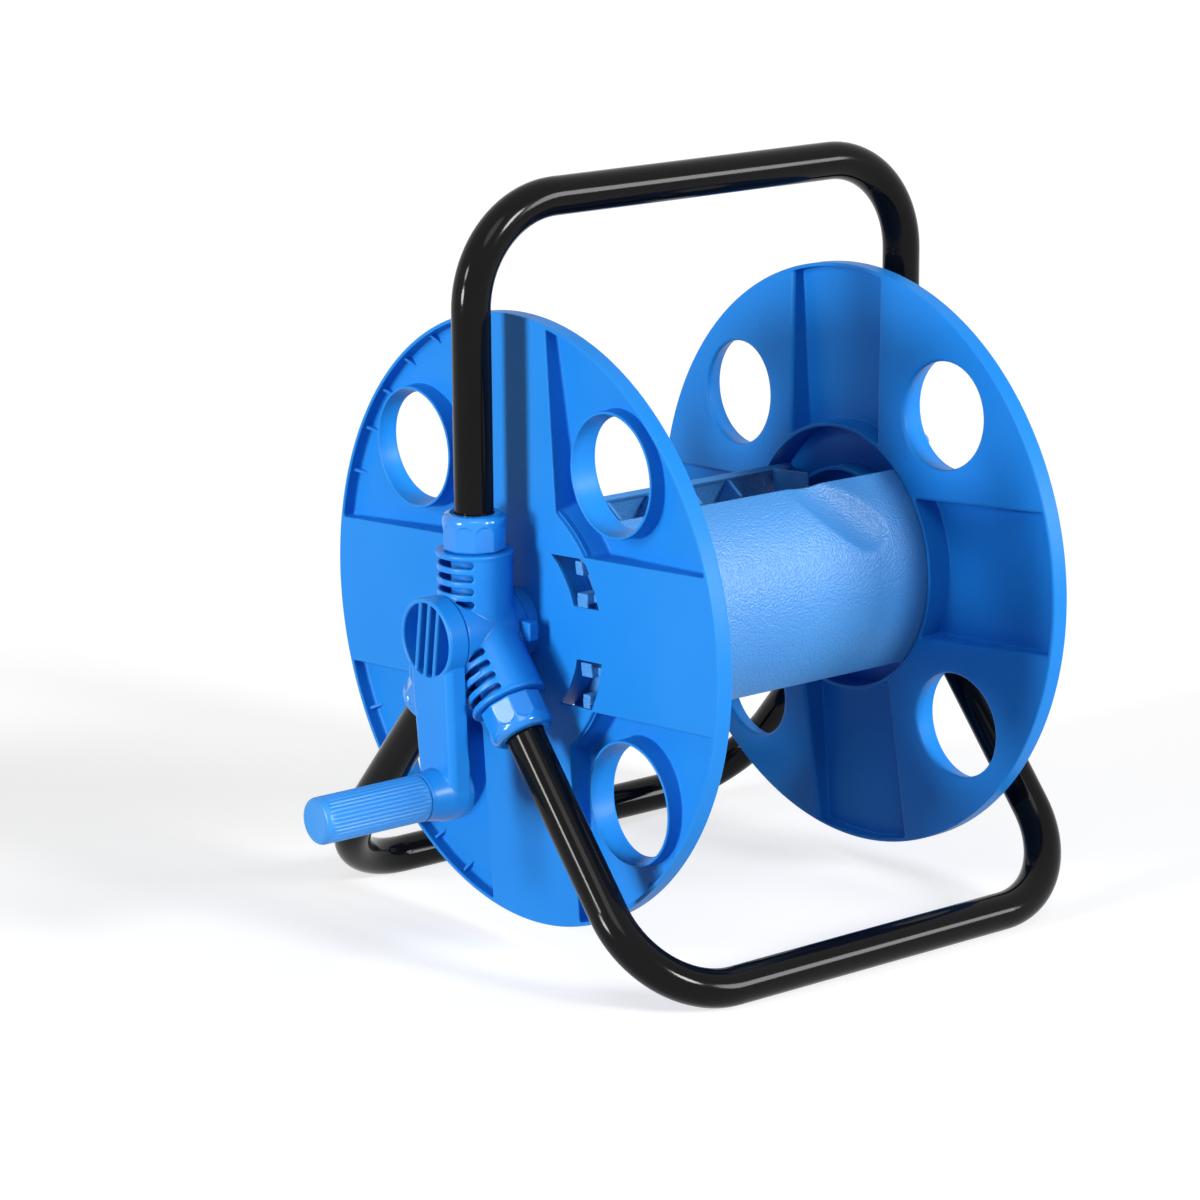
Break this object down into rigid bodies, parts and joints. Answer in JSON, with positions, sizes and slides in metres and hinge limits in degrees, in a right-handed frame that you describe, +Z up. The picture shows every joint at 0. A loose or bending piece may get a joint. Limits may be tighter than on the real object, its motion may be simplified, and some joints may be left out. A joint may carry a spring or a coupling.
{
  "type": "hose reel",
  "caption": "Free-standing garden hose reel: a blue drum with a crank and a water inlet, turning in a black tube frame.",
  "frame": {"origin": "on the floor, under the middle of the object's bounding box", "axes": "+X along the drum's axle, from the crank to the water inlet; +Y from front to back; +Z up"},
  "size_m": [0.42, 0.302, 0.38],
  "materials": {
    "blue_plastic": "moulded, satin to gloss",
    "black_tube": "gloss black powder coat",
    "steel": "plain zinc",
    "grey_plastic": "moulded, matte",
    "black_rubber": "matte"
  },
  "bodies": {
    "frame": {"handle_tube": "black_tube", "front_foot_tube": "black_tube", "rear_foot_tube": "black_tube", "crank_side_bracket": "blue_plastic", "inlet_side_bracket": "blue_plastic", "crank_handle_nut": "blue_plastic", "crank_front_nut": "blue_plastic", "crank_rear_nut": "blue_plastic", "inlet_handle_nut": "blue_plastic", "inlet_front_nut": "blue_plastic", "inlet_rear_nut": "blue_plastic", "tube_clamp_rings": "grey_plastic"},
    "drum": {"crank_side_flange": "blue_plastic", "inlet_side_flange": "blue_plastic", "front_core_shell": "blue_plastic", "rear_core_shell": "blue_plastic", "crank_arm": "blue_plastic", "crank_screw": "steel", "crank_washer": "steel", "grip_spindle": "grey_plastic", "water_pipe": "grey_plastic", "pipe_screws": "steel", "drum_elbow": "grey_plastic", "elbow_seal": "black_rubber", "hose_nut": "blue_plastic"},
    "grip": {"crank_grip": "blue_plastic"},
    "connector": {"inlet_connector": "grey_plastic", "connector_seals": "black_rubber", "connector_clip": "steel"}
  },
  "joints": [
    {"name": "drum_spin", "type": "hinge", "parent": "frame", "child": "drum", "pos_m": [0.0271, 0, 0.165], "axis": [1, 0, 0], "continuous": true},
    {"name": "grip_spin", "type": "hinge", "parent": "drum", "child": "grip", "pos_m": [-0.18, -0.00579, 0.08972], "axis": [1, 0, 0], "continuous": true},
    {"name": "connector_swivel", "type": "hinge", "parent": "drum", "child": "connector", "pos_m": [0.1871, 0, 0.165], "axis": [1, 0, 0], "continuous": true}
  ]
}
